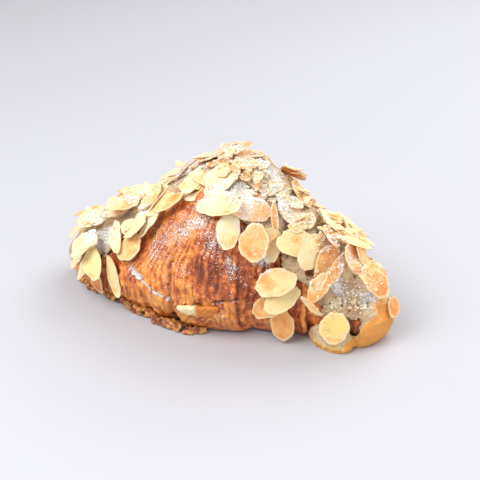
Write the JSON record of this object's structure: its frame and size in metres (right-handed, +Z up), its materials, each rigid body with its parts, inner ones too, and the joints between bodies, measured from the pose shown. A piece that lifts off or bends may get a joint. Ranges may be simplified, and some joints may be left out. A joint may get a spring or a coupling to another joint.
{
  "type": "almond croissant",
  "caption": "Baked almond croissant with a split, filled side, almond cream baked over the top, scattered sliced almonds and a dusting of icing sugar.",
  "frame": {"origin": "on the surface that the croissant lies on, under the middle of its bounding box", "axes": "+X along the croissant's length towards the tip with the two cream feet, -Y towards the side with the bare crust and the split, +Z up"},
  "size_m": [0.177, 0.0848, 0.0863],
  "materials": {
    "crust": "orange-brown laminated crust, egg-washed, satin",
    "filling": "soft yellow baked almond filling, matt",
    "almond_cream": "pale beige baked almond cream, fine-pored, matt",
    "almond_pale": "pale yellow sliced almond, waxy",
    "almond_golden": "golden sliced almond with toasted edge, waxy",
    "almond_toasted": "toasted brown sliced almond, waxy",
    "caramel": "dark caramelised leaked cream, glossy",
    "icing_sugar": "fine white icing sugar, matt"
  },
  "bodies": {
    "root": {"pastry": "crust", "almond_filling": "filling", "almond_cream": "almond_cream", "caramel_rim": "caramel", "almond_slice_01": "almond_toasted", "almond_slice_02": "almond_pale", "almond_slice_03": "almond_pale", "almond_slice_04": "almond_pale", "almond_slice_05": "almond_pale", "almond_slice_06": "almond_golden", "almond_slice_07": "almond_pale", "almond_slice_08": "almond_pale", "almond_slice_09": "almond_pale", "almond_slice_10": "almond_pale", "almond_slice_11": "almond_pale", "almond_slice_12": "almond_pale", "almond_slice_13": "almond_golden", "almond_slice_14": "almond_golden", "almond_slice_15": "almond_pale", "almond_slice_16": "almond_pale", "almond_slice_17": "almond_golden", "almond_slice_18": "almond_toasted", "almond_slice_19": "almond_golden", "almond_slice_20": "almond_golden", "almond_slice_21": "almond_golden", "almond_slice_22": "almond_pale", "almond_slice_23": "almond_pale", "almond_slice_24": "almond_golden", "almond_slice_25": "almond_golden", "almond_slice_26": "almond_pale", "almond_slice_27": "almond_pale", "almond_slice_28": "almond_golden", "almond_slice_29": "almond_golden", "almond_slice_30": "almond_golden", "almond_slice_31": "almond_golden", "almond_slice_32": "almond_pale", "almond_slice_33": "almond_toasted", "almond_slice_34": "almond_golden", "almond_slice_35": "almond_toasted", "almond_slice_36": "almond_golden", "almond_slice_37": "almond_toasted", "almond_slice_38": "almond_golden", "almond_slice_39": "almond_pale", "almond_slice_40": "almond_pale", "almond_slice_41": "almond_pale", "almond_slice_42": "almond_pale", "almond_slice_43": "almond_golden", "almond_slice_44": "almond_toasted", "almond_slice_45": "almond_golden", "almond_slice_46": "almond_toasted", "almond_slice_47": "almond_golden", "almond_slice_48": "almond_golden", "almond_slice_49": "almond_golden", "almond_slice_50": "almond_pale", "almond_slice_51": "almond_pale", "almond_slice_52": "almond_golden", "almond_slice_53": "almond_golden", "almond_slice_54": "almond_toasted", "almond_slice_55": "almond_pale", "almond_slice_56": "almond_golden"}
  },
  "joints": []
}
